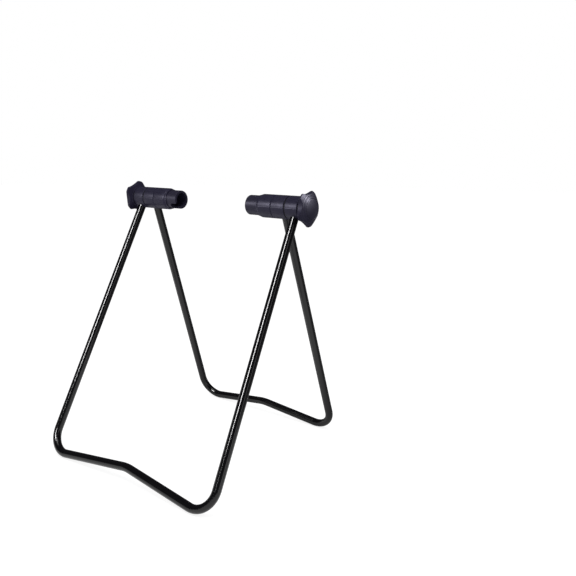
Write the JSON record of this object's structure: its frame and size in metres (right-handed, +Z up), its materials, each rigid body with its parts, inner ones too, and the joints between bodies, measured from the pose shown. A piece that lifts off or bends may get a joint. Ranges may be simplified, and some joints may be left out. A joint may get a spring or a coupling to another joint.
{
  "type": "bike repair stand",
  "caption": "Folding wheel-end repair stand: bent black tube frames hinged on one axis, with screw-driven cups that hold the axle ends and lobed knobs outside.",
  "frame": {"origin": "on the floor, at the centre of the stand's bounding box", "axes": "X along the hinge and wheel axis with the plain cup and its knob towards +X, the longer front frame towards -Y, +Z up"},
  "size_m": [0.3452, 0.327, 0.39],
  "materials": {
    "black_paint": "gloss",
    "collar_plastic": "fine matt texture",
    "knob_plastic": "fine matt texture",
    "cup_plastic": "fine matt texture",
    "washer_nylon": "smooth",
    "zinc_steel": "zinc plated"
  },
  "bodies": {
    "rear": {"rear_frame": "black_paint", "inner_collar_left": "collar_plastic", "inner_collar_right": "collar_plastic", "guide_collar_left": "collar_plastic", "guide_collar_right": "collar_plastic", "pivot_sleeve_left": "zinc_steel", "pivot_sleeve_right": "zinc_steel", "friction_washer_left": "washer_nylon", "friction_washer_right": "washer_nylon", "thrust_washer_left": "washer_nylon", "thrust_washer_right": "washer_nylon"},
    "front": {"front_frame": "black_paint", "outer_collar_left": "collar_plastic", "outer_collar_right": "collar_plastic"},
    "knob_left": {"knob_left": "knob_plastic", "knob_cap_left": "knob_plastic", "spindle_left": "zinc_steel", "retaining_clip_left": "zinc_steel"},
    "knob_right": {"knob_right": "knob_plastic", "knob_cap_right": "knob_plastic", "spindle_right": "zinc_steel", "retaining_clip_right": "zinc_steel"},
    "cup_left": {"lever_cup_left": "cup_plastic", "captive_nut_left": "zinc_steel"},
    "cup_right": {"nut_cup_right": "cup_plastic", "captive_nut_right": "zinc_steel"}
  },
  "joints": [
    {"name": "frame_fold", "type": "hinge", "parent": "rear", "child": "front", "pos_m": [0, 0.03178, 0.365], "axis": [1, 0, 0], "range_deg": [0, 47]},
    {"name": "knob_turn_left", "type": "hinge", "parent": "rear", "child": "knob_left", "pos_m": [-0.1655, 0.03178, 0.365], "axis": [1, 0, 0], "range_deg": [0, 4320]},
    {"name": "knob_turn_right", "type": "hinge", "parent": "rear", "child": "knob_right", "pos_m": [0.1655, 0.03178, 0.365], "axis": [-1, 0, 0], "range_deg": [0, 4320]},
    {"name": "cup_slide_left", "type": "slide", "parent": "rear", "child": "cup_left", "axis": [-1, 0, 0], "range_m": [0, 0.015]},
    {"name": "cup_slide_right", "type": "slide", "parent": "rear", "child": "cup_right", "axis": [1, 0, 0], "range_m": [0, 0.015]}
  ],
  "couplings": [
    {"joint": "cup_slide_left", "follows": "knob_turn_left", "m_per_rad": 0.0001989},
    {"joint": "cup_slide_right", "follows": "knob_turn_right", "m_per_rad": 0.0001989}
  ]
}
